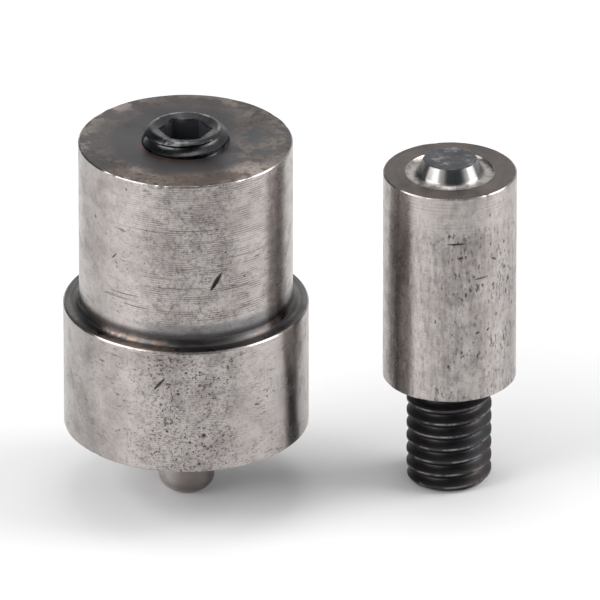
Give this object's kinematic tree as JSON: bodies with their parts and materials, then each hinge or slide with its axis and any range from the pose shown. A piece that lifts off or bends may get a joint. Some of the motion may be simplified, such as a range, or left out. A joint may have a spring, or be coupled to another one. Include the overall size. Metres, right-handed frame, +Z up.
{
  "type": "grommet press die set",
  "caption": "Grommet press die set: a flanged steel anvil die with a sprung pilot pin and a backing screw, and a curling punch on a black threaded stud.",
  "frame": {"origin": "bottom centre of the box round both dies as they stand side by side, the punch 2.4 mm further back", "axes": "+X from the anvil die to the punch, +Y away from the viewer, +Z up along both die axes"},
  "size_m": [0.0506, 0.0274, 0.0446],
  "materials": {
    "anvil_steel": "turned tool steel, stained and nicked",
    "punch_steel": "ground tool steel, pitted and streaked",
    "pilot_steel": "dull dark steel",
    "spring_steel": "bright spring wire",
    "black_oxide": "glossy black oxide"
  },
  "bodies": {
    "anvil": {"anvil_body": "anvil_steel"},
    "pilot": {"pilot_pin": "pilot_steel"},
    "spring": {"pilot_spring": "spring_steel"},
    "screw": {"spring_screw": "black_oxide"},
    "punch": {"punch_body": "punch_steel", "mounting_stud": "black_oxide"}
  },
  "joints": [
    {"name": "pilot_slide", "type": "slide", "parent": "anvil", "child": "pilot", "axis": [0, 0, 1], "range_m": [0, 0.0081], "stiffness_N_per_m": 1760, "springref_m": -0.0073, "deforming": ["pilot_spring"]},
    {"name": "screw_advance", "type": "slide", "parent": "anvil", "child": "spring", "axis": [0, 0, 1], "range_m": [-0.00317, 0.00317], "deforming": ["pilot_spring"]},
    {"name": "screw_turn", "type": "hinge", "parent": "spring", "child": "screw", "pos_m": [-0.01158, 0, 0.03505], "axis": [0, 0, 1], "range_deg": [-720, 720]},
    {"name": "punch_lift", "type": "slide", "parent": "anvil", "child": "punch", "axis": [0, 0, 1], "range_m": [0, 0.06]}
  ],
  "couplings": [
    {"joint": "screw_turn", "follows": "screw_advance", "rad_per_m": 3957.9}
  ]
}
